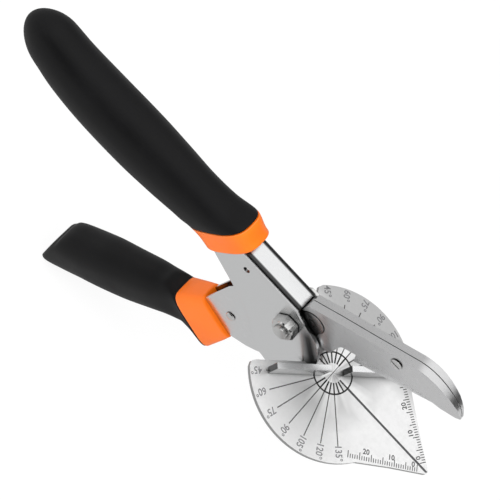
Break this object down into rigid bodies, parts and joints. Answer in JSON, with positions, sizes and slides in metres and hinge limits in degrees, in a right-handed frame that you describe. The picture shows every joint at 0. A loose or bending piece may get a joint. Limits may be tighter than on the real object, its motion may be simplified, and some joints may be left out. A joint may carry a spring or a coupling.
{
  "type": "mitre shears",
  "caption": "Hand mitre shears: a hinged jaw with a straight blade closes on an angle-marked bed with fixed fences; sprung lever handle, soft grips and a swinging lock hook.",
  "frame": {"origin": "middle of the flat top of the frame's web", "axes": "+X along the cut towards the bed's tip, +Z out of the web's and the bed's top faces, +Y to the side of the bolt's head; the frame's handle lies along -X"},
  "size_m": [0.2288, 0.0696, 0.1656],
  "materials": {
    "frame_steel": "satin plated sheet",
    "bed_steel": "fine satin, engraved",
    "fence_steel": "fine satin",
    "lever_steel": "satin plated sheet",
    "jaw_steel": "brushed",
    "blade_steel": "ground",
    "zinc": "bright zinc plating",
    "spring_steel": "oiled wire",
    "orange_plastic": "satin moulded",
    "black_rubber": "matte moulded"
  },
  "bodies": {
    "frame": {"frame_channel": "frame_steel", "bed_plate": "bed_steel", "near_fence": "fence_steel", "far_fence": "fence_steel", "pivot_bolt": "zinc", "pivot_nut": "zinc", "pivot_bush": "zinc", "frame_spring_arm": "spring_steel", "frame_handle_core": "orange_plastic", "frame_grip": "black_rubber"},
    "lever": {"lever_channel": "lever_steel", "near_jaw_plate": "jaw_steel", "far_jaw_plate": "jaw_steel", "blade": "blade_steel", "blade_screw": "zinc", "jaw_rivet": "zinc", "hook_rivet": "zinc", "lever_spring_arm": "spring_steel", "lever_handle_core": "orange_plastic", "lever_grip": "black_rubber"},
    "hook": {"lock_hook": "orange_plastic"}
  },
  "joints": [
    {"name": "lever_hinge", "type": "hinge", "parent": "frame", "child": "lever", "pos_m": [0.0125, 0, -0.012], "axis": [0, 1, 0], "range_deg": [0, 38.3], "stiffness_Nm_per_rad": 0.8, "springref_deg": -34.38},
    {"name": "hook_hinge", "type": "hinge", "parent": "lever", "child": "hook", "pos_m": [-0.0008, 0.0073, -0.0456], "axis": [0, -1, 0], "range_deg": [0, 80]}
  ]
}
